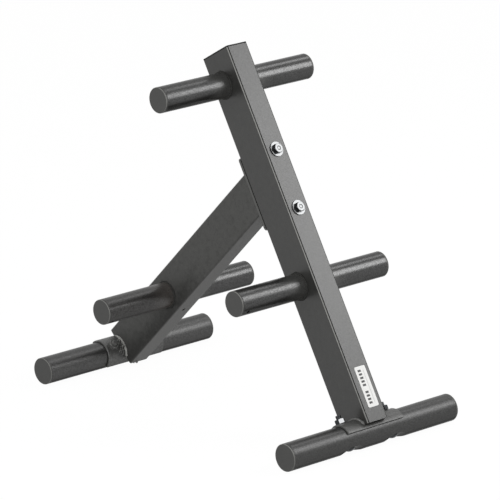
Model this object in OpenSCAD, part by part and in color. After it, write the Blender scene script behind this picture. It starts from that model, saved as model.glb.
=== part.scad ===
// Plate tree: an A-frame stand that holds weight plates on six horns.
// Lengths are millimetres. Z is up, the horns run along X, the upright's foot is in front (-Y).

/* [Frame] */
// Distance between the centres of the front foot and the rear foot
foot_spacing = 671; // [500:1:900]
// Lean of the upright from the vertical, in degrees
upright_lean = 30.85; // [20:0.05:40]
// Rise of the brace from the floor, in degrees
brace_rise = 45.8; // [38:0.1:60]
// Width of the upright's tube, along X
tube_w = 50; // [40:0.5:80]
// Depth of the upright's tube
tube_d = 76; // [60:0.5:100]
// Width of the brace's tube, along X
brace_w = 44; // [36:0.5:80]
// Depth of the brace's tube
brace_d = 79; // [60:0.5:100]
// How far the brace's centreline passes below the rear foot's centre
brace_drop = 0.7; // [0:0.1:3]
// Wall of the upright's and the brace's tube
tube_wall = 2.5; // [1.5:0.1:4]
// Outside corner radius of the upright's and the brace's tube
tube_corner = 3.5; // [3:0.1:8]
// Where the upright's tube starts, along it from the front foot's centre
upright_start = 12.5; // [5:0.5:20]
// Where the brace's tube starts, along it from the rear foot's centre
brace_start = 16; // [5:0.5:20]
// Where the upright's tube ends, along it from the front foot's centre
upright_top = 748.5; // [700:0.5:900]

/* [Horns] */
// Outside diameter of a horn
horn_d = 48.3; // [25:0.1:49.5]
// Wall of a horn's tube
horn_wall = 2.5; // [2:0.1:4]
// Width over the two horns of one pair, with their caps
horn_span = 368; // [250:1:600]
// Height of the top pair along the upright, from the front foot's centre
top_horn_at = 690; // [600:0.5:720]
// Height of the middle pair along the upright, from the front foot's centre
mid_horn_at = 293.5; // [200:0.5:360]
// Height of the rear pair along the brace, from the rear foot's centre
rear_horn_at = 205.5; // [120:0.5:300]
// How far the upright's horns sit behind its centreline
horn_setback = 11; // [0:0.5:13]
// How far the rear horns sit below the brace's centreline
rear_horn_drop = 2; // [0:0.5:10]
// Diameter of the vent hole in a horn
vent_d = 6.5; // [3:0.1:8]
// Distance from a middle horn's capped end to its vent hole
mid_vent_in = 16.5; // [12:0.5:40]
// Distance from a rear horn's capped end to its vent hole
rear_vent_in = 12.5; // [12:0.5:40]
// Chamfer on the capped end of a horn or a foot
tube_end_chamfer = 0.6; // [0.2:0.1:1]

/* [Feet] */
// Outside diameter of a foot
foot_d = 51.5; // [40:0.1:76]
// Wall of a foot's tube
foot_wall = 2.5; // [2:0.1:4]
// Length of a foot with its caps
foot_length = 415; // [300:1:600]
// Length of the pressed dimple below a foot at each foot bolt
dimple_length = 56; // [40:1:80]
// Depth of the pressed dimple
dimple_depth = 6.5; // [5:0.1:9]

/* [Caps] */
// Thickness of a cap's visible rim
cap_rim = 3.6; // [2:0.1:5]
// Radius on the outer edge of a cap
cap_edge = 1.2; // [0.3:0.1:1.5]
// Chamfer on the back edge of a cap's rim, which leaves a groove beside the tube
cap_groove = 0.6; // [0.2:0.1:1]
// Length of a cap's plug inside its tube
cap_plug = 14; // [8:0.5:15]
// Wall of a cap's plug
plug_wall = 2; // [1.5:0.1:3]
// Gap between a plug and the inside of its tube
plug_gap = 0.15; // [0.05:0.05:0.4]

/* [Saddles] */
// Length of a saddle along its foot
saddle_length = 140; // [130:1:180]
// Wall of a saddle
saddle_wall = 3.5; // [2:0.1:5]
// Gap between a foot and its saddle
saddle_gap = 0.25; // [0.1:0.05:0.5]
// Chamfer on the ends of a saddle
saddle_chamfer = 1; // [0.2:0.1:2]
// Angle that the front saddle wraps around its foot, in degrees
front_saddle_wrap_angle = 160; // [120:1:175]
// Angle that the rear saddle wraps around its foot, in degrees
rear_saddle_wrap_angle = 172; // [120:1:175]
// How far the rear saddle and its bolts sit to the right of the middle
rear_saddle_shift = 4; // [0:0.5:6]
// Gap between a saddle and the coped tube end
cope_gap = 0.2; // [0.1:0.05:0.5]

/* [Plate and fasteners] */
// Length of the mounting plate along the upright
plate_length = 142; // [135:1:180]
// Thickness of the mounting plate
plate_t = 5; // [4:0.5:8]
// How far the plate sits below the brace's centre
plate_drop = 2; // [0:0.5:4]
// Distance between the upright's two bolts
bolt_spacing = 114.8; // [112:0.2:124]
// Distance of each foot bolt from the middle
foot_bolt_x = 54.5; // [50:0.5:60]
// Diameter of every bolt
bolt_d = 10; // [8:1:12]
// Radial gap around a bolt in its hole
bolt_gap = 0.5; // [0.2:0.1:1]
// Width across the flats of every bolt head and nut
hex_af = 17; // [16:0.5:19]
// Height of a bolt head
head_h = 6.4; // [5:0.1:8]
// Height of a nut
nut_h = 8.4; // [6:0.1:10]
// Outside diameter of a wide front washer
wide_washer_d = 28; // [22:0.5:34]
// Thickness of a wide front washer
wide_washer_t = 2; // [1.5:0.1:4]
// Outside diameter of a rear washer
washer_d = 20; // [18:0.5:21]
// Thickness of a rear washer
washer_t = 2; // [1:0.1:3]
// Length of an upright bolt under its head
long_bolt = 100; // [98:1:120]
// Length of a foot bolt under its domed head
foot_bolt = 65; // [62:1:80]
// Diameter of a foot bolt's domed head
dome_d = 19; // [16:0.5:22]
// Height of a foot bolt's domed head
dome_h = 4; // [3:0.1:4.5]
// Turn of the front foot's left nut on its bolt, in degrees
front_left_nut_turn = -20; // [-30:1:30]
// Turn of the front foot's right nut on its bolt, in degrees
front_right_nut_turn = 10; // [-30:1:30]
// Diameter of the drain hole in the brace's lower face
drain_d = 7; // [3:0.5:10]

/* [Label] */
// Width of the blank label
label_w = 26; // [15:0.5:35]
// Length of the blank label
label_l = 78; // [40:0.5:120]
// Thickness of the blank label
label_t = 0.3; // [0.2:0.1:1]
// Height of the label's middle along the upright
label_at = 77.3; // [60:0.1:200]
// Distance of the label's middle from the upright's middle
label_x = 2.2; // [0:0.1:5]
// Corner radius of the label
label_corner = 3; // [1:0.5:6]

/* [Hidden] */
$fn = 96;
big = 2000;
foot_z = foot_d / 2;
front_y = -foot_spacing / 2;
rear_y = foot_spacing / 2;
saddle_ri = foot_d / 2 + saddle_gap;
saddle_ro = saddle_ri + saddle_wall;
cope_r = saddle_ro + cope_gap;
horn_out = horn_span / 2 - cap_rim;
foot_out = foot_length / 2 - cap_rim;
hole_r = bolt_d / 2 + bolt_gap;
hex_r = hex_af / 2 / cos(30);
plate_back = tube_d / 2 + plate_t;
sa = sin(upright_lean);
ca = cos(upright_lean);
cotb = cos(brace_rise) / sin(brace_rise);
// Where the brace's centreline meets the back of the mounting plate, along the upright
joint_at = (foot_spacing + plate_back * (sa * cotb - ca)) / (sa + ca * cotb);
plate_at = joint_at - plate_drop;
brace_run = (joint_at * ca - plate_back * sa) / sin(brace_rise);
foot_inner = foot_d / 2 - foot_wall;
// A dimple is an arc along the foot; its centre lies this far below the foot's centre
dimple_r = (dimple_length * dimple_length / 4 + dimple_depth * dimple_depth) / (2 * dimple_depth);
dimple_z = foot_d / 2 - dimple_depth + dimple_r;
// Where a domed head seats in its dimple, below the foot's centre
dome_seat = dimple_z - sqrt(dimple_r * dimple_r - dome_d * dome_d / 4) + 0.05;
dome_r = (dome_d * dome_d / 4 + dome_h * dome_h) / (2 * dome_h);
nut_seat = saddle_ro + 0.05;
horn_plug_r = horn_d / 2 - horn_wall - plug_gap;
foot_plug_r = foot_d / 2 - foot_wall - plug_gap;
mid_vent_tilt = 34;
rear_vent_tilt = 48;

steel = [0.30, 0.30, 0.29];
plastic = [0.16, 0.16, 0.16];
zinc = [0.78, 0.79, 0.80];
paper = [0.95, 0.95, 0.95];

// Moves a shape from the upright's own axes: Z runs up along it, Y points to its back
module on_upright(along = 0) {
  translate([0, front_y, foot_z]) rotate([-upright_lean, 0, 0]) translate([0, 0, along]) children();
}

// Moves a shape from the brace's own axes: Z runs up along it, Y points to its upper side
module on_brace(along = 0) {
  translate([0, rear_y, foot_z]) rotate([90 - brace_rise, 0, 0]) translate([0, 0, along]) children();
}

// Turns a shape built along Z so that it runs along X
module along_x() {
  rotate([0, 90, 0]) children();
}

module rounded(w, d, r) {
  square([w - 2 * r, d], center = true);
  square([w, d - 2 * r], center = true);
  for (x = [-1, 1]) for (y = [-1, 1])
    translate([x * (w / 2 - r), y * (d / 2 - r)]) circle(r);
}

module box_tube(w, d, from, to) {
  translate([0, 0, from]) linear_extrude(height = to - from) difference() {
    rounded(w, d, tube_corner);
    rounded(w - 2 * tube_wall, d - 2 * tube_wall, tube_corner - tube_wall);
  }
}

module cope() {
  along_x() cylinder(r = cope_r, h = 1.5 * tube_w, center = true);
}

// A round tube along Z with a chamfer on its far end's outer edge
module round_tube(d, wall, len) {
  rotate_extrude() polygon([
    [d / 2 - wall, 0], [d / 2, 0], [d / 2, len - tube_end_chamfer],
    [d / 2 - tube_end_chamfer, len], [d / 2 - wall, len]
  ]);
}

// A round cap: its rim stands on the tube's end at z = 0 and its hollow plug reaches down
module round_cap(d, plug_r) {
  rotate_extrude() union() {
    polygon([
      [0, 0], [d / 2 - cap_groove, 0], [d / 2, cap_groove], [d / 2, cap_rim - cap_edge],
      [d / 2 - cap_edge, cap_rim - cap_edge], [d / 2 - cap_edge, cap_rim], [0, cap_rim]
    ]);
    intersection() {
      translate([d / 2 - cap_edge, cap_rim - cap_edge]) circle(cap_edge);
      square([d, cap_rim + 1]);
    }
  }
  difference() {
    translate([0, 0, -cap_plug]) cylinder(r = plug_r, h = cap_plug + 0.5);
    translate([0, 0, -cap_plug - 1]) cylinder(r = plug_r - plug_wall, h = cap_plug + 1);
  }
}

module hex(h) {
  intersection() {
    cylinder(r = hex_r, h = h, $fn = 6);
    union() {
      cylinder(r = hex_r + 1, h = h - 1);
      translate([0, 0, h - 1]) cylinder(r1 = hex_r, r2 = hex_af / 2 * 0.95, h = 1);
    }
  }
}

module bolt(len) {
  // The head has the shallow dish of a forged bolt
  difference() {
    hex(head_h);
    translate([0, 0, head_h - 0.6]) cylinder(d1 = 0.3 * hex_af, d2 = 0.55 * hex_af, h = 0.7);
  }
  translate([0, 0, -len]) cylinder(d = bolt_d, h = len + 0.5);
}

module nut() {
  difference() {
    hex(nut_h);
    translate([0, 0, -1]) cylinder(d = bolt_d + 0.1, h = nut_h + 2);
  }
}

module washer(d, t) {
  difference() {
    cylinder(d = d, h = t);
    translate([0, 0, -1]) cylinder(r = hole_r, h = t + 2);
  }
}

// The upright's two bolt places, with Z pointing out of the front face
module at_upright_bolts(out) {
  for (k = [-1, 1])
    on_upright(plate_at + k * bolt_spacing / 2) translate([0, -out, 0]) rotate([90, 0, 0]) children();
}

module upright_tube() {
  color(steel) difference() {
    on_upright() box_tube(tube_w, tube_d, upright_start, upright_top);
    on_upright() cope();
    at_upright_bolts(0) cylinder(r = hole_r, h = tube_d + 20, center = true);
  }
}

module upright_cap() {
  color(plastic) on_upright(upright_top) {
    linear_extrude(height = 2.5) rounded(tube_w, tube_d, tube_corner);
    difference() {
      translate([0, 0, -cap_plug]) linear_extrude(height = cap_plug + 0.5)
        square([tube_w - 2 * tube_wall - 1.2, tube_d - 2 * tube_wall - 1.2], center = true);
      translate([0, 0, -cap_plug - 1]) linear_extrude(height = cap_plug + 1)
        square([tube_w - 2 * tube_wall - 5.2, tube_d - 2 * tube_wall - 5.2], center = true);
    }
  }
}

module brace_tube() {
  color(steel) difference() {
    on_brace() translate([0, -brace_drop, 0])
      box_tube(brace_w, brace_d, brace_start, brace_run + brace_d);
    on_brace() cope();
    // Everything in front of the mounting plate's back is cut away
    on_upright(joint_at) translate([0, plate_back - big / 2, 0]) cube(big, center = true);
    // A small drain hole in the lower face
    on_brace(rear_horn_at - 1.5) translate([-1, 0, 0]) rotate([90, 0, 0])
      cylinder(d = drain_d, h = brace_d);
  }
}

module mounting_plate() {
  color(steel) difference() {
    on_upright(plate_at) translate([0, tube_d / 2, 0]) rotate([-90, 0, 0])
      linear_extrude(height = plate_t) rounded(tube_w, plate_length, 5);
    at_upright_bolts(0) cylinder(r = hole_r, h = 2 * tube_d, center = true);
  }
}

// A horn runs from the side of a tube of width w to its cap; side is -1 for left and 1 for right
module horn(side, w) {
  mirror([side < 0 ? 1 : 0, 0, 0])
    translate([w / 2, 0, 0]) along_x() round_tube(horn_d, horn_wall, horn_out - w / 2);
}

// A vent hole's cutter on a left horn, which points down and to the front
module vent(inset, tilt) {
  translate([inset - horn_span / 2, 0, 0]) rotate([90 + tilt, 0, 0]) cylinder(d = vent_d, h = horn_d);
}

module horn_cap(side) {
  mirror([side < 0 ? 1 : 0, 0, 0]) translate([horn_out, 0, 0]) along_x() round_cap(horn_d, horn_plug_r);
}

module at_top_horns() {
  on_upright(top_horn_at) translate([0, horn_setback, 0]) rotate([upright_lean, 0, 0]) children();
}

module at_mid_horns() {
  on_upright(mid_horn_at) translate([0, horn_setback, 0]) rotate([upright_lean, 0, 0]) children();
}

module at_rear_horns() {
  on_brace(rear_horn_at) translate([0, -rear_horn_drop, 0]) rotate([brace_rise - 90, 0, 0]) children();
}

module top_left_horn() {
  color(steel) at_top_horns() horn(-1, tube_w);
}

module top_right_horn() {
  color(steel) at_top_horns() horn(1, tube_w);
}

module mid_left_horn() {
  color(steel) at_mid_horns() difference() {
    horn(-1, tube_w);
    vent(mid_vent_in, mid_vent_tilt);
  }
}

module mid_right_horn() {
  color(steel) at_mid_horns() horn(1, tube_w);
}

module rear_left_horn() {
  color(steel) at_rear_horns() difference() {
    horn(-1, brace_w);
    vent(rear_vent_in, rear_vent_tilt);
  }
}

module rear_right_horn() {
  color(steel) at_rear_horns() horn(1, brace_w);
}

module top_left_cap() {
  color(plastic) at_top_horns() horn_cap(-1);
}

module top_right_cap() {
  color(plastic) at_top_horns() horn_cap(1);
}

module mid_left_cap() {
  color(plastic) at_mid_horns() horn_cap(-1);
}

module mid_right_cap() {
  color(plastic) at_mid_horns() horn_cap(1);
}

module rear_left_cap() {
  color(plastic) at_rear_horns() horn_cap(-1);
}

module rear_right_cap() {
  color(plastic) at_rear_horns() horn_cap(1);
}

// Cutters for the dimples below a foot, centred on its bolts
module dimples(shift, r) {
  for (x = [-foot_bolt_x, foot_bolt_x])
    translate([x + shift, 0, -dimple_z]) rotate([90, 0, 0]) cylinder(r = r, h = foot_d + 2, center = true);
}

// A foot about its own centre; Z points along the tube that stands on it
module foot(shift) {
  edge_r = foot_d / 2 - tube_end_chamfer;
  edge_x = foot_out - tube_end_chamfer;
  difference() {
    along_x() rotate_extrude() polygon([
      [0, -foot_out], [edge_r, -foot_out], [foot_d / 2, -edge_x],
      [foot_d / 2, edge_x], [edge_r, foot_out], [0, foot_out]
    ]);
    // The inside of the tube follows the dimples at the tube's wall
    difference() {
      along_x() cylinder(r = foot_inner, h = foot_length, center = true);
      dimples(shift, dimple_r + foot_wall);
    }
    dimples(shift, dimple_r);
    for (x = [-foot_bolt_x, foot_bolt_x])
      translate([x + shift, 0, 0]) cylinder(r = hole_r, h = 2 * foot_d, center = true);
  }
}

module foot_cap(side) {
  mirror([side < 0 ? 1 : 0, 0, 0]) translate([foot_out, 0, 0]) along_x() round_cap(foot_d, foot_plug_r);
}

// A half pipe over a foot, with chamfered ends
module saddle(wrap) {
  half = wrap / 2;
  cut = 3 * saddle_ro;
  end = saddle_length / 2;
  edge = saddle_chamfer;
  difference() {
    along_x() rotate_extrude() polygon([
      [saddle_ri, -end], [saddle_ro - edge, -end], [saddle_ro, edge - end],
      [saddle_ro, end - edge], [saddle_ro - edge, end], [saddle_ri, end]
    ]);
    rotate([90, 0, 90]) linear_extrude(height = saddle_length + 2, center = true) polygon([
      [0, 0], [cut * sin(half), cut * cos(half)], [cut, -cut],
      [-cut, -cut], [-cut * sin(half), cut * cos(half)]
    ]);
    for (x = [-foot_bolt_x, foot_bolt_x])
      translate([x, 0, 0]) cylinder(r = hole_r, h = foot_d);
  }
}

// Foot bolts point up through the foot and the saddle, with their domed heads in the dimples
module foot_bolts() {
  for (x = [-foot_bolt_x, foot_bolt_x]) translate([x, 0, -dome_seat]) {
    rotate_extrude() intersection() {
      translate([0, dome_r - dome_h]) circle(dome_r);
      translate([0, -dome_h]) square([dome_d / 2, dome_h]);
    }
    translate([0, 0, -0.5]) cylinder(d = bolt_d, h = foot_bolt + 0.5);
  }
}

// The two nuts on a saddle, each turned to where its thread stopped it
module foot_nuts(left_turn, right_turn) {
  translate([-foot_bolt_x, 0, nut_seat]) rotate([0, 0, left_turn]) nut();
  translate([foot_bolt_x, 0, nut_seat]) rotate([0, 0, right_turn]) nut();
}

module front_foot_tube() {
  color(steel) on_upright() foot(0);
}

module rear_foot_tube() {
  color(steel) on_brace() foot(rear_saddle_shift);
}

module front_foot_left_cap() {
  color(plastic) on_upright() foot_cap(-1);
}

module front_foot_right_cap() {
  color(plastic) on_upright() foot_cap(1);
}

module rear_foot_left_cap() {
  color(plastic) on_brace() foot_cap(-1);
}

module rear_foot_right_cap() {
  color(plastic) on_brace() foot_cap(1);
}

module front_saddle() {
  color(steel) on_upright() saddle(front_saddle_wrap_angle);
}

module rear_saddle() {
  color(steel) on_brace() translate([rear_saddle_shift, 0, 0]) saddle(rear_saddle_wrap_angle);
}

module upright_bolts() {
  color(zinc) at_upright_bolts(tube_d / 2 + wide_washer_t) bolt(long_bolt);
}

module upright_front_washers() {
  color(zinc) at_upright_bolts(tube_d / 2) washer(wide_washer_d, wide_washer_t);
}

module upright_rear_washers() {
  color(zinc) at_upright_bolts(-plate_back - washer_t) washer(washer_d, washer_t);
}

module upright_nuts() {
  color(zinc) at_upright_bolts(-plate_back - washer_t) mirror([0, 0, 1]) nut();
}

module front_foot_bolts() {
  color(zinc) on_upright() foot_bolts();
}

module front_foot_nuts() {
  color(zinc) on_upright() foot_nuts(front_left_nut_turn, front_right_nut_turn);
}

module rear_foot_bolts() {
  color(zinc) on_brace() translate([rear_saddle_shift, 0, 0]) foot_bolts();
}

module rear_foot_nuts() {
  color(zinc) on_brace() translate([rear_saddle_shift, 0, 0]) foot_nuts(0, 0);
}

module blank_label() {
  color(paper) on_upright(label_at) translate([label_x, -tube_d / 2, 0]) rotate([90, 0, 0])
    linear_extrude(height = label_t) rounded(label_w, label_l, label_corner);
}

upright_tube();
upright_cap();
brace_tube();
mounting_plate();
top_left_horn();
top_right_horn();
mid_left_horn();
mid_right_horn();
rear_left_horn();
rear_right_horn();
top_left_cap();
top_right_cap();
mid_left_cap();
mid_right_cap();
rear_left_cap();
rear_right_cap();
front_foot_tube();
rear_foot_tube();
front_foot_left_cap();
front_foot_right_cap();
rear_foot_left_cap();
rear_foot_right_cap();
front_saddle();
rear_saddle();
upright_bolts();
upright_front_washers();
upright_rear_washers();
upright_nuts();
front_foot_bolts();
front_foot_nuts();
rear_foot_bolts();
rear_foot_nuts();
blank_label();
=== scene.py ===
import math
import random

import bmesh
import bpy
from mathutils import Matrix, Vector


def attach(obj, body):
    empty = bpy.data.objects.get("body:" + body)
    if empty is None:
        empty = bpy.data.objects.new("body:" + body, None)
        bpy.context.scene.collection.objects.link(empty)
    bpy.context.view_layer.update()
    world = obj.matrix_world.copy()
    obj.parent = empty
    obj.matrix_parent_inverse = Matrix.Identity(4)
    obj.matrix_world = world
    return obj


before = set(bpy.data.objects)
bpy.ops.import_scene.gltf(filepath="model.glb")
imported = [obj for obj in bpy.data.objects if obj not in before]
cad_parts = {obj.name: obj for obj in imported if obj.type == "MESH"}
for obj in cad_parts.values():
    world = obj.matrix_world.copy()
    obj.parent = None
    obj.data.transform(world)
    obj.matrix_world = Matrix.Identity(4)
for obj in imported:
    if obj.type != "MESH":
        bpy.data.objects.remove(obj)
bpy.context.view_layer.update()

# Sizes in metres, the same as in the part's source
FOOT_SPACING = 0.671
UPRIGHT_LEAN = math.radians(30.85)
BRACE_RISE = math.radians(45.8)
TUBE_W = 0.050
TUBE_D = 0.076
BRACE_W = 0.044
BRACE_D = 0.079
BRACE_DROP = 0.0007
UPRIGHT_START = 0.0125
BRACE_START = 0.016
FOOT_Z = 0.02575
HORN_R = 0.02415
HORN_SETBACK = 0.011
TOP_HORN_AT = 0.690
MID_HORN_AT = 0.2935
REAR_HORN_AT = 0.2055
REAR_HORN_DROP = 0.002
SADDLE_R = 0.0295
COPE_GAP = 0.0002
REAR_SADDLE_SHIFT = 0.004
PLATE_T = 0.005
FOOT_BOLT_X = 0.0545
BOLT_R = 0.005
NUT_TOP = 0.03795
FOOT_BOLT_END = 0.0450
LABEL_AT = 0.0773
LABEL_X = 0.0022
LABEL_T = 0.0003

# Weld beads: their radii, how far their middles lie outside the corners they fill, and their ripples and ends
HORN_BEAD_R = 0.0025
SADDLE_BEAD_R = 0.0031
REAR_SADDLE_BEAD_R = 0.0022
PLATE_BEAD_R = 0.0026
HORN_BEAD_OUT = 0.0002
SADDLE_BEAD_OUT = 0.0004
PLATE_BEAD_OUT = 0.0004
PLATE_BEAD_SHORT = 0.006
RIPPLE = 0.0036
TAPER = 0.004

# How finely the beads are drawn
BEAD_SIDES = 10
HORN_BEAD_STEPS = 192
SADDLE_BEAD_STEPS = 96
PLATE_BEAD_STEPS = 80
RUN_BEADS = 14
MERGE_DISTANCE = 1e-6

# Spatter: the radii of its drops, how far from the box tube they lie, and how much nearer on the horns
SPATTER_R = (0.0004, 0.0010)
SPATTER_OUT = (0.004, 0.016)
HORN_SPATTER_IN = 0.002

# The bolts' thread, and its ridge as steps out of the bolt and along it
THREAD_PITCH = 0.0015
THREAD_STEPS = 24
THREAD_RIDGE = ((-0.0002, 0.0001), (0.0003, 0.0007), (-0.0002, 0.0013))

# The print on the label: its thickness, how far out its middle lies, and its row of marks with one gap
PRINT_T = 0.00006
PRINT_OUT = 0.00002
MARK_COUNT = 10
MARK_GAP = 5
MARK_STEP = 0.0068
TOP_MARK_AT = 0.0306

# Where the painted light at the horn roots and the brace's darker patch fade out, in metres: out from the
# stand's middle, up from the brace's middle line, and along the brace from the rear foot
ROOT_LIGHT_X = (0.024, 0.08)
DARK_BAND_HEIGHT = (-0.030, 0.0)
DARK_BAND_RUN = (0.23, 0.33)

# The floor's size and the point that the lamps face, in metres
FLOOR_SIZE = 20
LAMP_AIM = Vector((0, -0.05, 0.35))

# Strengths of the white surroundings, where 1 is the white of the picture
FLOOR_GLOW = 1.03
FLOOR_GLOW_SHARE = 0.94
ROOM_FILL = 0.6

# The photograph's camera, solved from the object's own edges
PHOTO_SIZE = 500
PHOTO_FOCAL = 4383
HALF_PIXEL = 0.5
SENSOR_WIDTH = 36
CAMERA_AZIMUTH = math.radians(-42.78)
CAMERA_ELEVATION = math.radians(16.79)
CAMERA_DISTANCE = 7.926
CAMERA_TARGET = Vector((-0.1267, -0.1576, 0.3578))

front_foot = Vector((0, -FOOT_SPACING / 2, FOOT_Z))
rear_foot = Vector((0, FOOT_SPACING / 2, FOOT_Z))
upright_place = Matrix.Translation(front_foot) @ Matrix.Rotation(-UPRIGHT_LEAN, 4, "X")
brace_place = Matrix.Translation(rear_foot) @ Matrix.Rotation(math.pi / 2 - BRACE_RISE, 4, "X")
plate_out = Vector((0, math.cos(UPRIGHT_LEAN), -math.sin(UPRIGHT_LEAN)))
brace_along = Vector((0, -math.cos(BRACE_RISE), math.sin(BRACE_RISE)))
brace_up = Vector((0, math.sin(BRACE_RISE), math.cos(BRACE_RISE)))


def linear(hex_colour):
    """Turns an sRGB hex value such as 2b2b2a into a linear colour."""
    parts = [int(hex_colour[i:i + 2], 16) / 255 for i in (0, 2, 4)]
    return [p / 12.92 if p <= 0.04045 else ((p + 0.055) / 1.055) ** 2.4 for p in parts] + [1]


def add_node(tree, kind, settings=None, links=None):
    """Adds one node, sets its properties or sockets, and links sockets into it."""
    node = tree.nodes.new(kind)
    for key, value in (settings or {}).items():
        if isinstance(key, int) or key in node.inputs:
            node.inputs[key].default_value = value
        else:
            setattr(node, key, value)
    for key, socket in (links or {}).items():
        tree.links.new(socket, node.inputs[key])
    return node


def new_material(name):
    """Makes an empty material and returns it with its node tree and its output node."""
    material = bpy.data.materials.new(name)
    material.use_nodes = True
    material.node_tree.nodes.clear()
    return material, material.node_tree, add_node(material.node_tree, "ShaderNodeOutputMaterial")


def finish_surface(tree, output, settings, links):
    """Adds a material's main shader and links it to the output."""
    shader = add_node(tree, "ShaderNodeBsdfPrincipled", settings, links)
    tree.links.new(shader.outputs[0], output.inputs[0])


def noise(tree, place, scale, detail, **settings):
    """Noise that lies still on the part, from 0 to 1, with its scale in lumps for each metre."""
    settings = {"Scale": scale, "Detail": detail, **settings}
    return add_node(tree, "ShaderNodeTexNoise", settings, {"Vector": place.outputs["Object"]}).outputs["Fac"]


def rescale(tree, value, old, new=(0.0, 1.0)):
    """Maps a value from an old range to a new one, and holds it within that."""
    limits = {1: old[0], 2: old[1], 3: new[0], 4: new[1]}
    return add_node(tree, "ShaderNodeMapRange", limits, {0: value}).outputs[0]


def combine(tree, operation, first, second):
    """Works out one value from two."""
    return add_node(tree, "ShaderNodeMath", {"operation": operation}, {0: first, 1: second}).outputs[0]


def reach(tree, vector, direction):
    """How far a vector reaches in a direction."""
    settings = {"operation": "DOT_PRODUCT", 1: direction}
    return add_node(tree, "ShaderNodeVectorMath", settings, {0: vector}).outputs["Value"]


def size_of(tree, value):
    """A value without its sign."""
    return add_node(tree, "ShaderNodeMath", {"operation": "ABSOLUTE"}, {0: value}).outputs[0]


def side_reach(tree, vector):
    """How far a vector reaches to the left or right."""
    return size_of(tree, add_node(tree, "ShaderNodeSeparateXYZ", {}, {0: vector}).outputs["X"])


def facing_up(tree, place):
    """How much the surface faces up, from -1 to 1."""
    return add_node(tree, "ShaderNodeSeparateXYZ", {}, {0: place.outputs["Normal"]}).outputs["Z"]


def bumps(tree, height, strength, distance):
    """The normal of a surface with fine bumps."""
    settings = {"Strength": strength, "Distance": distance}
    return add_node(tree, "ShaderNodeBump", settings, {"Height": height}).outputs[0]


def mixed_tone(tree, share, dark, light):
    """A colour between two sRGB hex values."""
    settings = {"data_type": "RGBA", 6: linear(dark), 7: linear(light)}
    return add_node(tree, "ShaderNodeMix", settings, {0: share}).outputs[2]


def blended(tree, share, first, second):
    """A colour between two others."""
    return add_node(tree, "ShaderNodeMix", {"data_type": "RGBA"}, {0: share, 6: first, 7: second}).outputs[2]


def scaled_tone(tree, tone, factor):
    """Makes a colour darker or lighter by a factor."""
    settings = {"operation": "SCALE"}
    return add_node(tree, "ShaderNodeVectorMath", settings, {0: tone, "Scale": factor}).outputs[0]


def ramp_factor(tree, source, stops):
    """A factor of at most 6 that depends on a value from 0 to 1. Each stop is a value and its factor."""
    most = 6.0
    ramp = add_node(tree, "ShaderNodeValToRGB", {}, {0: source})
    elements = ramp.color_ramp.elements
    elements[0].position = stops[0][0]
    elements[1].position = stops[-1][0]
    for stop in stops[1:-1]:
        elements.new(stop[0])
    for element, stop in zip(elements, stops):
        level = stop[1] / most
        element.color = (level, level, level, 1)
    settings = {"operation": "MULTIPLY", 1: most}
    return add_node(tree, "ShaderNodeMath", settings, {0: ramp.outputs["Color"]}).outputs[0]


def grazing_sheen(tree, place, sheen, edge_sheen, top_sheen):
    """The specular level of a matt skin: at a grazing angle it is edge_sheen below and top_sheen above."""
    angle = add_node(tree, "ShaderNodeLayerWeight", {"Blend": 0.5})
    edge = rescale(tree, facing_up(tree, place), (-0.1, 0.6), (edge_sheen, top_sheen))
    settings = {1: 0.28, 2: 0.62, 3: sheen}
    return add_node(tree, "ShaderNodeMapRange", settings, {0: angle.outputs["Facing"], 4: edge}).outputs[0]


def brace_low_darkening(tree, place):
    """What the brace's sides keep of their tone: they are darker along the front edge of their lower half."""
    settings = {"operation": "SUBTRACT", 1: rear_foot}
    from_foot = add_node(tree, "ShaderNodeVectorMath", settings, {0: place.outputs["Object"]}).outputs[0]
    above = rescale(tree, reach(tree, from_foot, brace_up), DARK_BAND_HEIGHT)
    beyond = rescale(tree, reach(tree, from_foot, brace_along), DARK_BAND_RUN)
    clear = combine(tree, "MAXIMUM", above, beyond)
    # The darker area's edge is cloudy, in clouds of 9 mm
    clouds = rescale(tree, noise(tree, place, 110, 4), (0.3, 0.7), (-0.3, 0.3))
    clear = combine(tree, "ADD", clear, clouds)
    other_wall = rescale(tree, side_reach(tree, place.outputs["Normal"]), (0.9, 0.5))
    clear = combine(tree, "MAXIMUM", clear, other_wall)
    return rescale(tree, clear, (0.0, 1.0), (0.58, 1.0))


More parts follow.
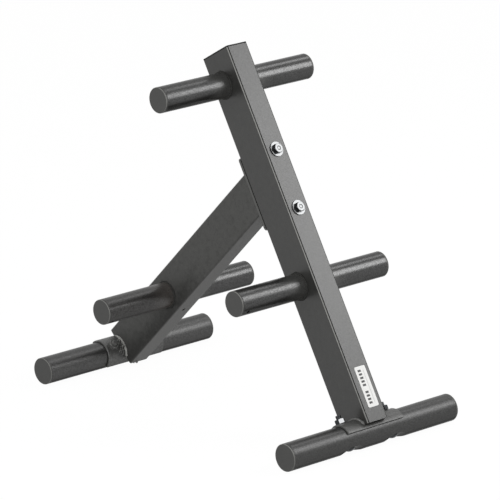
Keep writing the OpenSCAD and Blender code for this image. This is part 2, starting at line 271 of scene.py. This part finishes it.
def powder_coat(name, dark, light, roughness, peel, sheen, edge_sheen, top_sheen, grit, corners=None,
                root_light=1, darkening=None):
    """Satin powder coat, sprayed and baked: charcoal, with a fine orange peel that breaks up its highlights.

    The sheens are for a surface seen face on, and at a grazing angle below and above. Grit makes them uneven.
    The other arguments change the tone: painted highlight and shade along the corners, painted light at a
    horn's root, and a darkening in places.
    """
    material, tree, output = new_material(name)
    place = add_node(tree, "ShaderNodeTexCoord")
    # Patches of 10 mm where the coat is a little thicker
    patches = noise(tree, place, 95, 3, Roughness=0.6)
    tone = mixed_tone(tree, patches, dark, light)
    if root_light != 1:
        # Painted light: the tone is made several times paler within 55 mm of the box tube, to lift the shade
        # at the horn's root
        away = side_reach(tree, place.outputs["Object"])
        tone = scaled_tone(tree, tone, rescale(tree, away, ROOT_LIGHT_X, (root_light, 1.0)))
    if darkening:
        kept = darkening(tree, place)
        tone = scaled_tone(tree, tone, kept)
    if corners:
        # Painted highlight and shade: a pale line painted along the rounded front corners, dark lines beside
        # it and along the back corners, and the side faces a little darker
        forward = rescale(tree, reach(tree, place.outputs["Normal"], -plate_out), (-1.0, 1.0))
        tone = scaled_tone(tree, tone, ramp_factor(tree, forward, corners))
    # Orange peel of 2 mm, and powder grain of 0.7 mm drawn as coarse as it has to be to show
    orange_peel = noise(tree, place, 480, 1)
    grain = noise(tree, place, 1400, 0)
    surface = add_node(tree, "ShaderNodeMix", {0: 0.3}, {2: orange_peel, 3: grain}).outputs[0]
    gloss = rescale(tree, patches, (0.0, 1.0), (roughness - 0.04, roughness + 0.04))
    level = grazing_sheen(tree, place, sheen, edge_sheen, top_sheen)
    # Coarse grit of 2.3 mm that makes the sheen uneven
    coarse = noise(tree, place, 440, 2, Roughness=0.7)
    level = combine(tree, "MULTIPLY", level, rescale(tree, coarse, (0.34, 0.66), (1 - grit, 1 + grit)))
    if darkening:
        level = combine(tree, "MULTIPLY", level, kept)
    if corners:
        # Less sheen along the painted dark line beside the front face
        corner_sheen_cut = ramp_factor(tree, forward, ((0.9, 1), (0.925, 0.2), (0.9915, 0.2), (0.998, 1)))
        level = combine(tree, "MULTIPLY", level, corner_sheen_cut)
    finish_surface(tree, output, {"IOR": 1.5, "Metallic": 0.0}, {
        "Base Color": tone, "Roughness": gloss, "Normal": bumps(tree, surface, peel, 0.0004),
        "Specular IOR Level": level})
    return material


def moulded_cap(name, dark, light, sheen, edge_sheen, rim):
    """Injection moulded polyethylene: a warm near black with a faint spark-eroded grain, and a painted
    highlight on its rim.
    """
    material, tree, output = new_material(name)
    place = add_node(tree, "ShaderNodeTexCoord")
    # Flow marks of 25 mm and mould grain of 1 mm
    flow = noise(tree, place, 40, 2, Distortion=0.8)
    grain = noise(tree, place, 1000, 1)
    plain = mixed_tone(tree, flow, dark, light)
    # Painted highlight: the rounded rim is painted pale, and less so on its lower half
    sideways = side_reach(tree, place.outputs["Normal"])
    wear_and_highlight = ramp_factor(tree, sideways, ((0.12, 1), (0.24, rim), (0.9, rim), (0.97, 1)))
    upper = rescale(tree, facing_up(tree, place), (-0.7, 0.5), (0.3, 1.0))
    tone = blended(tree, upper, plain, scaled_tone(tree, plain, wear_and_highlight))
    finish_surface(tree, output, {"IOR": 1.5}, {
        "Base Color": tone, "Roughness": rescale(tree, flow, (0.0, 1.0), (0.42, 0.54)),
        "Normal": bumps(tree, grain, 0.12, 0.0002),
        "Specular IOR Level": grazing_sheen(tree, place, sheen, edge_sheen, edge_sheen)})
    return material


def zinc_plate(name, dark_reflection, pale_reflection, direction, sharpness):
    """Zinc plating on forged steel, with a painted reflection: dark, but pale on the flat faces that face
    either way along one direction.
    """
    material, tree, output = new_material(name)
    place = add_node(tree, "ShaderNodeTexCoord")
    # Clouds of 5 mm in the passivation and forging marks of 1.2 mm
    clouds = noise(tree, place, 200, 3)
    marks = noise(tree, place, 830, 2)
    # Painted reflection: faces that look along the direction take the pale tone, the others the dark one
    either_way = size_of(tree, reach(tree, place.outputs["Normal"], direction))
    pale_share = rescale(tree, either_way, (sharpness, sharpness + 0.02))
    tone = blended(tree, pale_share, mixed_tone(tree, clouds, *dark_reflection), mixed_tone(tree, clouds, *pale_reflection))
    finish_surface(tree, output, {"Metallic": 1.0}, {
        "Base Color": tone, "Roughness": rescale(tree, clouds, (0.0, 1.0), (0.24, 0.4)),
        "Normal": bumps(tree, marks, 0.15, 0.0002)})
    return material


def scaled_metal(name, dark, light, axis=None):
    """Uncoated metal below its own heat scale or bloom, which is dull and grey with pale and dark bands."""
    material, tree, output = new_material(name)
    place = add_node(tree, "ShaderNodeTexCoord")
    # Bands of 3.5 mm along the bead and grain of 1 mm
    bands = noise(tree, place, 290, 2, Distortion=1.2)
    grain = noise(tree, place, 1000, 1)
    tone = mixed_tone(tree, rescale(tree, bands, (0.35, 0.65)), dark, light)
    if axis:
        # The chamfers that face along the axis are painted pale, as rubbed bare zinc and as a highlight, and
        # the other faces a little darker
        along = reach(tree, place.outputs["Normal"], axis)
        wear_and_highlight = ramp_factor(tree, along, ((0.2, 0.8), (0.35, 1.9), (0.88, 1.9), (0.96, 1.0)))
        tone = scaled_tone(tree, tone, wear_and_highlight)
    finish_surface(tree, output, {"Metallic": 0.0, "IOR": 1.5}, {
        "Base Color": tone, "Roughness": rescale(tree, bands, (0.0, 1.0), (0.42, 0.6)),
        "Normal": bumps(tree, grain, 0.3, 0.0003)})
    return material


def vinyl(name, dark, light, roughness):
    """Printed vinyl film: smooth and a little glossy, with a slight unevenness from the glue below it."""
    material, tree, output = new_material(name)
    place = add_node(tree, "ShaderNodeTexCoord")
    # Unevenness of 6 mm
    glue = noise(tree, place, 160, 2)
    finish_surface(tree, output, {"IOR": 1.5, "Roughness": roughness}, {
        "Base Color": mixed_tone(tree, glue, dark, light), "Normal": bumps(tree, glue, 0.1, 0.0002)})
    return material


# The upright's tone by how far forward its surface faces (back face 0, side faces 0.5, front face 1): a
# painted highlight along the front corners, painted dark lines beside it and along the back corners, and
# slightly darker side faces
front_corner_light = (
    (0.015, 1), (0.05, 0.3), (0.455, 0.3), (0.492, 0.82), (0.508, 0.82), (0.53, 0.3), (0.62, 0.3),
    (0.67, 6), (0.89, 6), (0.925, 0.15), (0.9915, 0.15), (0.998, 1))
# The way the flat of a front foot nut faces whose pale tone is a painted reflection
nut_flat = Vector((-0.342, -0.806, 0.482))

upright_coat = powder_coat(
    "satin_powder_coat_on_upright", "282827", "3b3b39", roughness=0.32, peel=0.05,
    sheen=0.5, edge_sheen=0.5, top_sheen=0.5, grit=0.1, corners=front_corner_light)
box_coat = powder_coat(
    "satin_powder_coat_on_brace", "3e3e3d", "4e4e4c", roughness=0.5, peel=0.05,
    sheen=0.2, edge_sheen=0.32, top_sheen=0.32, grit=0.2, darkening=brace_low_darkening)
# Painted light: the plate's coat is paler than the upright's, so that its edge reads as a lit line
plate_coat = powder_coat(
    "satin_powder_coat_on_plate", "3f3f3d", "494947", roughness=0.36, peel=0.05,
    sheen=0.5, edge_sheen=0.5, top_sheen=0.5, grit=0.15)
horn_coat = powder_coat(
    "satin_powder_coat_on_round_tube", "131312", "232322", roughness=0.31, peel=0.07,
    sheen=0.65, edge_sheen=0.03, top_sheen=0.24, grit=0.42, root_light=6)
glossy_coat = powder_coat(
    "glossier_powder_coat_on_round_tube", "111110", "1f1f1e", roughness=0.26, peel=0.07,
    sheen=0.7, edge_sheen=0.03, top_sheen=0.22, grit=0.35, root_light=6)
worn_coat = powder_coat(
    "rubbed_powder_coat_on_round_tube", "1b1918", "282624", roughness=0.38, peel=0.07,
    sheen=0.58, edge_sheen=0.03, top_sheen=0.45, grit=0.4, root_light=5)
foot_coat = powder_coat(
    "satin_powder_coat_on_foot", "1e1e1d", "2e2e2d", roughness=0.37, peel=0.05,
    sheen=0.52, edge_sheen=0.03, top_sheen=0.34, grit=0.3)
rear_foot_coat = powder_coat(
    "satin_powder_coat_on_rear_foot", "191918", "272625", roughness=0.39, peel=0.06,
    sheen=0.76, edge_sheen=0.03, top_sheen=0.4, grit=0.3)
# Painted light: the saddles' coats are paler than the upright's, to lift the shade under the upright and to
# stand in for light on the rear saddle's top
saddle_coat = powder_coat(
    "satin_powder_coat_on_saddle", "40403f", "4e4e4c", roughness=0.42, peel=0.06,
    sheen=0.55, edge_sheen=0.25, top_sheen=0.55, grit=0.3)
rear_saddle_coat = powder_coat(
    "thin_powder_coat_on_saddle", "2e2e2d", "4a4a48", roughness=0.46, peel=0.12,
    sheen=0.9, edge_sheen=0.2, top_sheen=0.9, grit=0.5)
weld_coat = powder_coat(
    "satin_powder_coat_on_weld", "40403f", "5c5c5a", roughness=0.42, peel=0.25,
    sheen=1.0, edge_sheen=0.5, top_sheen=1.0, grit=0.4)
root_coat = powder_coat(
    "satin_powder_coat_on_horn_weld", "222221", "3a3a38", roughness=0.6, peel=0.5,
    sheen=0.15, edge_sheen=0.02, top_sheen=0.05, grit=0.5)
cap_plastic = moulded_cap("moulded_polyethylene", "313130", "3d3d3b", sheen=0.5, edge_sheen=0.2, rim=5.2)
box_cap_plastic = moulded_cap(
    "moulded_polyethylene_in_box_tube", "121211", "1a1a18", sheen=0.1, edge_sheen=0.1, rim=1)
zinc = zinc_plate(
    "zinc_plate", ("3a3b3c", "4a4c4e"), ("6a6b6c", "7a7b7b"), direction=plate_out, sharpness=0.6)
dull_zinc = zinc_plate(
    "dull_zinc_plate", ("2c2d2e", "3e4042"), ("dcdedf", "ebecee"), direction=nut_flat, sharpness=0.965)
painted_dark_zinc = zinc_plate(
    "zinc_plate_painted_dark", ("2c2d2e", "3e4042"), ("3e4042", "4e5052"), direction=nut_flat, sharpness=0.965)
bloomed_zinc = scaled_metal("bloomed_zinc_plate", "3c3c3b", "626260", axis=brace_along)
weld_metal = scaled_metal("bare_weld_metal", "2c2c2a", "c8c8c4")
label_film = vinyl("white_vinyl_film", "e2e2e0", "eaeae8", roughness=0.4)
dark_ink = vinyl("dark_print_on_vinyl", "202020", "2c2c2c", roughness=0.45)
pale_ink = vinyl("pale_print_on_vinyl", "c4c4c2", "d2d2d0", roughness=0.45)

finishes = {
    "upright_tube": upright_coat,
    "upright_cap": box_cap_plastic,
    "brace_tube": box_coat,
    "mounting_plate": plate_coat,
    "front_foot_tube": foot_coat,
    "rear_foot_tube": rear_foot_coat,
    "top_right_horn": glossy_coat,
    "mid_right_horn": glossy_coat,
    "rear_right_horn": glossy_coat,
    "rear_left_horn": worn_coat,
    "rear_saddle": rear_saddle_coat,
    "rear_foot_nuts": bloomed_zinc,
    "rear_foot_bolts": bloomed_zinc,
    "front_foot_nuts": dull_zinc,
    "front_foot_bolts": painted_dark_zinc,
}
for node_name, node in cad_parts.items():
    if node_name in finishes:
        finish = finishes[node_name]
    elif node_name.endswith("_cap"):
        finish = cap_plastic
    elif node_name.endswith(("bolts", "nuts", "washers")):
        finish = zinc
    elif node_name == "blank_label":
        finish = label_film
    elif node_name.endswith("saddle"):
        finish = saddle_coat
    else:
        finish = horn_coat
    node.data.materials.clear()
    node.data.materials.append(finish)


def keep_piece(bm, name, material, smooth=True):
    """Makes a named object of a finished bmesh, and lets it ride on the frame."""
    mesh = bpy.data.meshes.new(name)
    bm.to_mesh(mesh)
    bm.free()
    mesh.materials.append(material)
    for face in mesh.polygons:
        face.use_smooth = smooth
    piece = bpy.data.objects.new(name, mesh)
    bpy.context.scene.collection.objects.link(piece)
    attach(piece, "root")


def bead_size(distance, length=None):
    """How thick a weld bead is at a distance along it, and thinner near its ends if it has a length."""
    turn = distance / RIPPLE
    scallops = 0.18 * abs(math.sin(math.pi * turn))
    size = 0.90 + scallops + 0.09 * math.sin(1.7 * turn) + 0.07 * math.sin(0.6 * turn + 1)
    if length is not None:
        size *= min(1, 0.35 + 0.65 * min(distance, length - distance) / TAPER)
    return size


def horn_weld(name, place, side, half_width):
    """The bead round a horn's root, where the horn meets the side of its box tube."""
    middle_x = side * (half_width + HORN_BEAD_OUT)
    middle_r = HORN_R + HORN_BEAD_OUT
    start = Matrix.Translation((middle_x, middle_r, 0))
    bm = bmesh.new()
    bmesh.ops.create_circle(bm, segments=BEAD_SIDES, radius=HORN_BEAD_R, matrix=start)
    bmesh.ops.spin(bm, geom=bm.verts[:] + bm.edges[:], cent=(0, 0, 0), axis=(1, 0, 0), angle=2 * math.pi,
                   steps=HORN_BEAD_STEPS, use_merge=True)
    bmesh.ops.remove_doubles(bm, verts=bm.verts[:], dist=MERGE_DISTANCE)
    for vert in bm.verts:
        turn = math.atan2(vert.co.z, vert.co.y) + math.pi
        middle = Vector((middle_x, middle_r * -math.cos(turn), middle_r * -math.sin(turn)))
        lump = 0.16 * math.sin(5 * turn + 1) + 0.12 * math.sin(13 * turn)
        vert.co = middle + (vert.co - middle) * (bead_size(turn * middle_r) + lump)
    bmesh.ops.transform(bm, matrix=place, verts=bm.verts[:])
    bmesh.ops.recalc_face_normals(bm, faces=bm.faces[:])
    keep_piece(bm, name, root_coat)


def saddle_weld(name, place, side, half_width, tube_start, bead_r, material):
    """The bead over a saddle, along the coped edge of the box tube's side wall."""
    half = math.acos(tube_start / (SADDLE_R + COPE_GAP))
    middle_x = side * (half_width + SADDLE_BEAD_OUT)
    middle_r = SADDLE_R + SADDLE_BEAD_OUT
    length = 2 * half * middle_r
    start = Matrix.Rotation(half, 4, "X") @ Matrix.Translation((middle_x, 0, middle_r))
    start = start @ Matrix.Rotation(math.pi / 2, 4, "X")
    bm = bmesh.new()
    bmesh.ops.create_circle(bm, segments=BEAD_SIDES, radius=bead_r, matrix=start)
    bmesh.ops.spin(bm, geom=bm.verts[:] + bm.edges[:], cent=(0, 0, 0), axis=(-1, 0, 0), angle=2 * half,
                   steps=SADDLE_BEAD_STEPS)
    for vert in bm.verts:
        turn = math.atan2(vert.co.y, vert.co.z)
        turn = max(-half, min(half, turn))
        middle = Vector((middle_x, middle_r * math.sin(turn), middle_r * math.cos(turn)))
        vert.co = middle + (vert.co - middle) * bead_size((turn + half) * middle_r, length)
    bmesh.ops.holes_fill(bm, edges=[e for e in bm.edges if e.is_boundary], sides=0)
    bmesh.ops.transform(bm, matrix=place, verts=bm.verts[:])
    bmesh.ops.recalc_face_normals(bm, faces=bm.faces[:])
    keep_piece(bm, name, material)


def plate_weld(name, middle_y, middle_z):
    """The bead across the mounting plate, along the brace's upper or lower wall."""
    length = BRACE_W - PLATE_BEAD_SHORT
    start = Matrix.Translation((-length / 2, middle_y, middle_z)) @ Matrix.Rotation(math.pi / 2, 4, "Y")
    bm = bmesh.new()
    ring = bmesh.ops.create_circle(bm, segments=BEAD_SIDES, radius=PLATE_BEAD_R, matrix=start)["verts"]
    edges = list({e for v in ring for e in v.link_edges})
    for _ in range(PLATE_BEAD_STEPS):
        moved = bmesh.ops.extrude_edge_only(bm, edges=edges)["geom"]
        ring = [g for g in moved if isinstance(g, bmesh.types.BMVert)]
        edges = [g for g in moved if isinstance(g, bmesh.types.BMEdge)]
        bmesh.ops.translate(bm, verts=ring, vec=(length / PLATE_BEAD_STEPS, 0, 0))
    for vert in bm.verts:
        middle = Vector((vert.co.x, middle_y, middle_z))
        vert.co = middle + (vert.co - middle) * bead_size(vert.co.x + length / 2, length)
    bmesh.ops.holes_fill(bm, edges=[e for e in bm.edges if e.is_boundary], sides=0)
    bmesh.ops.recalc_face_normals(bm, faces=bm.faces[:])
    keep_piece(bm, name, weld_coat)


def thread(bm, place, start, end):
    """One helical ridge on a bolt's end, which runs along the place's Z axis from start to end."""
    steps = int((end - start - THREAD_PITCH) / THREAD_PITCH * THREAD_STEPS)
    old = set(bm.verts)
    root = [bm.verts.new((BOLT_R + out, 0, start + along)) for out, along in THREAD_RIDGE]
    edges = [bm.edges.new((root[i], root[(i + 1) % 3])) for i in range(3)]
    bmesh.ops.spin(bm, geom=root + edges, cent=(0, 0, 0), axis=(0, 0, 1),
                   dvec=(0, 0, THREAD_PITCH / THREAD_STEPS),
                   angle=2 * math.pi * steps / THREAD_STEPS, steps=steps)
    new = [v for v in bm.verts if v not in old]
    bmesh.ops.holes_fill(bm, edges=list({e for v in new for e in v.link_edges if e.is_boundary}), sides=0)
    bmesh.ops.transform(bm, matrix=place, verts=new)


def foot_threads(name, place, material):
    """The threads that show above the two nuts on a saddle."""
    bm = bmesh.new()
    for side in (-1, 1):
        thread(bm, place @ Matrix.Translation((side * FOOT_BOLT_X, 0, 0)), NUT_TOP, FOOT_BOLT_END)
    bmesh.ops.recalc_face_normals(bm, faces=bm.faces[:])
    keep_piece(bm, name, material)


def add_drop(bm, place, spot, radius):
    """Adds one small round drop of metal."""
    bmesh.ops.create_icosphere(bm, subdivisions=2, radius=radius, matrix=place @ Matrix.Translation(spot))


def spatter(name, place, half_width, tube_r, widest_turn, count, seed, material):
    """Small drops of metal that a weld threw on to the round tube beside it, up to a turn from its top."""
    chance = random.Random(seed)
    bm = bmesh.new()
    for _ in range(count):
        radius = chance.uniform(*SPATTER_R)
        turn = chance.uniform(-widest_turn, widest_turn)
        side = chance.choice((-1, 1))
        out = half_width + chance.uniform(*SPATTER_OUT)
        spot = Vector((side * out, tube_r * math.sin(turn), tube_r * math.cos(turn)))
        add_drop(bm, place, spot, radius)
    keep_piece(bm, name, material)


def weld_runs(name, place, runs):
    """Thin runs of weld metal on a saddle, each from one place and turn round it to another."""
    bm = bmesh.new()
    for start_x, start_turn, end_x, end_turn, size in runs:
        for i in range(RUN_BEADS):
            share = i / (RUN_BEADS - 1)
            turn = start_turn + (end_turn - start_turn) * share
            x = start_x + (end_x - start_x) * share
            # The run thins out as it goes, with one swelling
            radius = size * (1.1 - 0.6 * share + 0.15 * math.sin(9 * share))
            add_drop(bm, place, Vector((x, SADDLE_R * math.sin(turn), SADDLE_R * math.cos(turn))), radius)
    keep_piece(bm, name, weld_metal)


def edge_drips(name, drips):
    """Drips of weld metal on the end of the brace's lower wall, each given by its place across and radius."""
    bm = bmesh.new()
    for x, radius in drips:
        add_drop(bm, brace_place, Vector((x, -BRACE_D / 2 - BRACE_DROP, BRACE_START)), radius)
    keep_piece(bm, name, weld_coat)


def label_marks(name, spots, material):
    """Plain printed marks on the label, each given by its middle and size across and along."""
    bm = bmesh.new()
    for across, along, width, length in spots:
        middle = Vector((LABEL_X + across, -TUBE_D / 2 - LABEL_T - PRINT_OUT, LABEL_AT + along))
        size = Matrix.Diagonal((width, PRINT_T, length, 1))
        bmesh.ops.create_cube(bm, size=1, matrix=upright_place @ Matrix.Translation(middle) @ size)
    keep_piece(bm, name, material, smooth=False)


horn_places = {
    "top": (upright_place @ Matrix.Translation((0, HORN_SETBACK, TOP_HORN_AT)), TUBE_W / 2),
    "mid": (upright_place @ Matrix.Translation((0, HORN_SETBACK, MID_HORN_AT)), TUBE_W / 2),
    "rear": (brace_place @ Matrix.Translation((0, -REAR_HORN_DROP, REAR_HORN_AT)), BRACE_W / 2),
}
sides = {"left": -1, "right": 1}
for row, (row_place, half_width) in horn_places.items():
    for side_name, side in sides.items():
        horn_weld(f"{row}_{side_name}_horn_weld", row_place, side, half_width)
for side_name, side in sides.items():
    saddle_weld(f"front_saddle_{side_name}_weld", upright_place, side, TUBE_W / 2, UPRIGHT_START,
                SADDLE_BEAD_R, weld_coat)
    saddle_weld(f"rear_saddle_{side_name}_weld", brace_place, side, BRACE_W / 2, BRACE_START,
                REAR_SADDLE_BEAD_R, weld_metal)

# Where the brace's upper and lower walls meet the back of the mounting plate
plate_point = front_foot + plate_out * (TUBE_D / 2 + PLATE_T)
for wall_name, wall in (("upper", 1), ("lower", -1)):
    origin = rear_foot + brace_up * (wall * BRACE_D / 2 - BRACE_DROP)
    run = (plate_point - origin).dot(plate_out) / brace_along.dot(plate_out)
    corner = origin + brace_along * run
    corner = corner + plate_out * PLATE_BEAD_OUT + brace_up * (wall * PLATE_BEAD_OUT)
    plate_weld(f"plate_{wall_name}_weld", corner.y, corner.z)

rear_bolt_place = brace_place @ Matrix.Translation((REAR_SADDLE_SHIFT, 0, 0))
foot_threads("front_foot_bolt_threads", upright_place, painted_dark_zinc)
foot_threads("rear_foot_bolt_threads", rear_bolt_place, bloomed_zinc)
spatter("front_weld_spatter", upright_place, TUBE_W / 2, SADDLE_R,
        widest_turn=1.1, count=9, seed=3, material=weld_coat)
spatter("rear_weld_spatter", brace_place, BRACE_W / 2, SADDLE_R,
        widest_turn=1.1, count=26, seed=8, material=weld_metal)
spatter("mid_horn_weld_spatter", horn_places["mid"][0], TUBE_W / 2 - HORN_SPATTER_IN, HORN_R,
        widest_turn=3.1, count=44, seed=5, material=root_coat)
spatter("rear_horn_weld_spatter", horn_places["rear"][0], BRACE_W / 2 - HORN_SPATTER_IN, HORN_R,
        widest_turn=3.1, count=30, seed=6, material=root_coat)
edge_drips("brace_end_drips", ((-0.0055, 0.0027), (-0.0125, 0.0014)))
weld_runs("rear_weld_runs", brace_place, (
    (-0.0250, 0.30, -0.0430, -0.30, 0.0010),
    (-0.0245, 0.10, -0.0390, -0.52, 0.0010),
    (-0.0245, -0.05, -0.0350, -0.62, 0.0009),
    (-0.0250, 0.40, -0.0470, -0.05, 0.0008),
    (-0.0240, -0.30, -0.0310, -0.75, 0.0007),
))

mark_places = [TOP_MARK_AT - i * MARK_STEP for i in range(MARK_COUNT) if i != MARK_GAP]
label_marks("label_dark_marks", [(-0.0038, along, 0.0078, 0.0040) for along in mark_places], dark_ink)
label_marks("label_pale_marks", [(0.0058, -0.001, 0.0016, 0.064)], pale_ink)


def seen_rays(tree):
    """1 for the rays that see a surface itself: the camera's, and those in reflections and in glass."""
    rays = add_node(tree, "ShaderNodeLightPath")
    seen = combine(tree, "MAXIMUM", rays.outputs["Is Camera Ray"], rays.outputs["Is Glossy Ray"])
    return combine(tree, "MAXIMUM", seen, rays.outputs["Is Transmission Ray"])


# A pale floor that keeps the object's shadow, and reads as white where nothing shades it
floor_mesh = bpy.data.meshes.new("studio_floor")
floor_bm = bmesh.new()
bmesh.ops.create_grid(floor_bm, x_segments=1, y_segments=1, size=FLOOR_SIZE)
floor_bm.to_mesh(floor_mesh)
floor_bm.free()
floor = bpy.data.objects.new("studio_floor", floor_mesh)
bpy.context.scene.collection.objects.link(floor)
floor_material, floor_tree, floor_output = new_material("white_studio_paper")
floor_paper = add_node(floor_tree, "ShaderNodeBsdfDiffuse", {"Color": linear("d8d8d8")})
floor_glow = add_node(floor_tree, "ShaderNodeEmission", {"Color": (1, 1, 1, 1), "Strength": FLOOR_GLOW})
floor_lit = add_node(floor_tree, "ShaderNodeMixShader", {0: FLOOR_GLOW_SHARE}, {
    1: floor_paper.outputs[0], 2: floor_glow.outputs[0]})
floor_mix = add_node(floor_tree, "ShaderNodeMixShader", links={
    0: seen_rays(floor_tree), 1: floor_paper.outputs[0], 2: floor_lit.outputs[0]})
floor_tree.links.new(floor_mix.outputs[0], floor_output.inputs[0])
floor_mesh.materials.append(floor_material)

# The room: white to the camera and in reflections, and a plain soft fill on the object
world = bpy.data.worlds.new("white_room")
bpy.context.scene.world = world
world.use_nodes = True
room = world.node_tree
room.nodes.clear()
room_fill = add_node(room, "ShaderNodeBackground", {"Color": (1, 1, 1, 1), "Strength": ROOM_FILL})
room_white = add_node(room, "ShaderNodeBackground", {"Color": (1, 1, 1, 1), "Strength": 1.0})
room_mix = add_node(room, "ShaderNodeMixShader", links={
    0: seen_rays(room), 1: room_fill.outputs[0], 2: room_white.outputs[0]})
add_node(room, "ShaderNodeOutputWorld", links={0: room_mix.outputs[0]})


def softbox(name, direction, distance, width, height, glow):
    """A softbox that faces the stand from a direction, with its glow in the unit of a white wall."""
    light = bpy.data.lights.new(name, "AREA")
    light.shape = "RECTANGLE"
    light.size = width
    light.size_y = height
    light.energy = glow * math.pi * width * height
    lamp = bpy.data.objects.new(name, light)
    towards = Vector(direction).normalized()
    lamp.location = LAMP_AIM + towards * distance
    lamp.rotation_mode = "QUATERNION"
    lamp.rotation_quaternion = towards.to_track_quat("Z", "Y")
    bpy.context.scene.collection.objects.link(lamp)


softbox("front_right_softbox", (0.650, -0.587, 0.482), distance=2.3, width=1.05, height=1.05, glow=6.2)
softbox("left_softbox", (-0.90, -0.15, 0.26), distance=2.2, width=1.8, height=1.2, glow=2.3)
softbox("top_softbox", (0.65, 0.10, 0.753), distance=2.6, width=0.6, height=0.6, glow=4.0)

camera_data = bpy.data.cameras.new("photo_camera")
camera_data.sensor_width = SENSOR_WIDTH
camera_data.lens = PHOTO_FOCAL / PHOTO_SIZE * camera_data.sensor_width
# The solution counts from the middle of a pixel, half a pixel from its edge
camera_data.shift_x = -HALF_PIXEL / PHOTO_SIZE
camera_data.shift_y = HALF_PIXEL / PHOTO_SIZE
camera_data.clip_start = 0.5
camera_data.clip_end = 100
camera = bpy.data.objects.new("photo_camera", camera_data)
bpy.context.scene.collection.objects.link(camera)
camera_back = Vector((
    math.sin(CAMERA_AZIMUTH) * math.cos(CAMERA_ELEVATION),
    -math.cos(CAMERA_AZIMUTH) * math.cos(CAMERA_ELEVATION),
    math.sin(CAMERA_ELEVATION),
))
camera.location = CAMERA_TARGET + camera_back * CAMERA_DISTANCE
camera.rotation_mode = "QUATERNION"
camera.rotation_quaternion = camera_back.to_track_quat("Z", "Y")
bpy.context.scene.camera = camera
bpy.context.scene.view_settings.view_transform = "Standard"
